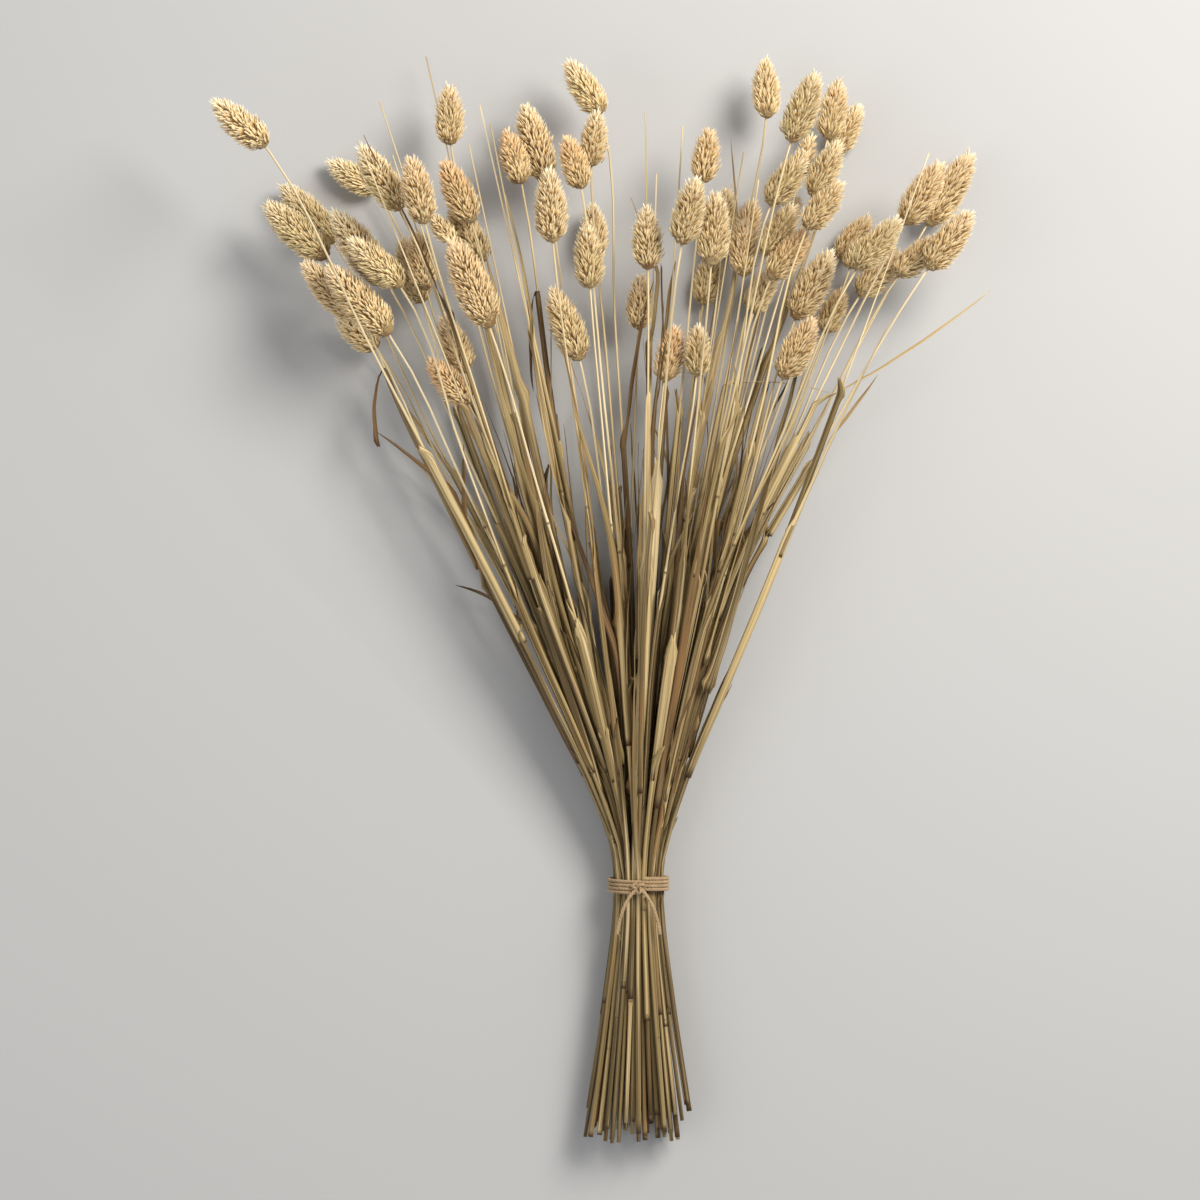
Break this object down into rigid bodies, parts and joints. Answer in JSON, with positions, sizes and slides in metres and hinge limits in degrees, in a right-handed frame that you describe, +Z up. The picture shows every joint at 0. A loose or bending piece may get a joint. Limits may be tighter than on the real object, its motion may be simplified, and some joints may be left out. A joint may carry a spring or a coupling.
{
  "type": "bundle of dried canary grass",
  "caption": "Fan-shaped bundle of dried canary grass: slender stems with oval seed heads, bound with twine near the cut ends and lying on its side.",
  "frame": {"origin": "middle of the bundle's box in plan, on the surface that the bundle lies on", "axes": "+Z up from that surface, +Y along the bundle from the cut ends to the seed heads, +X across the fan of stems"},
  "size_m": [0.4444, 0.6372, 0.1099],
  "materials": {
    "straw": "dry matt plant fibre with a faint waxy sheen on the stems",
    "twine": "rough twisted jute"
  },
  "bodies": {
    "root": {"culm_01": "straw", "culm_02": "straw", "culm_03": "straw", "culm_04": "straw", "culm_05": "straw", "culm_06": "straw", "culm_07": "straw", "culm_08": "straw", "culm_09": "straw", "culm_10": "straw", "culm_11": "straw", "culm_12": "straw", "culm_13": "straw", "culm_14": "straw", "culm_15": "straw", "culm_16": "straw", "culm_17": "straw", "culm_18": "straw", "culm_19": "straw", "culm_20": "straw", "culm_21": "straw", "culm_22": "straw", "culm_23": "straw", "culm_24": "straw", "culm_25": "straw", "culm_26": "straw", "culm_27": "straw", "culm_28": "straw", "culm_29": "straw", "culm_30": "straw", "culm_31": "straw", "culm_32": "straw", "culm_33": "straw", "culm_34": "straw", "culm_35": "straw", "culm_36": "straw", "culm_37": "straw", "culm_38": "straw", "culm_39": "straw", "culm_40": "straw", "culm_41": "straw", "culm_42": "straw", "culm_43": "straw", "culm_44": "straw", "culm_45": "straw", "culm_46": "straw", "culm_47": "straw", "culm_48": "straw", "culm_49": "straw", "culm_50": "straw", "culm_51": "straw", "culm_52": "straw", "culm_53": "straw", "culm_54": "straw", "culm_55": "straw", "culm_56": "straw", "culm_57": "straw", "culm_58": "straw", "culm_59": "straw", "twine": "twine"}
  },
  "joints": []
}
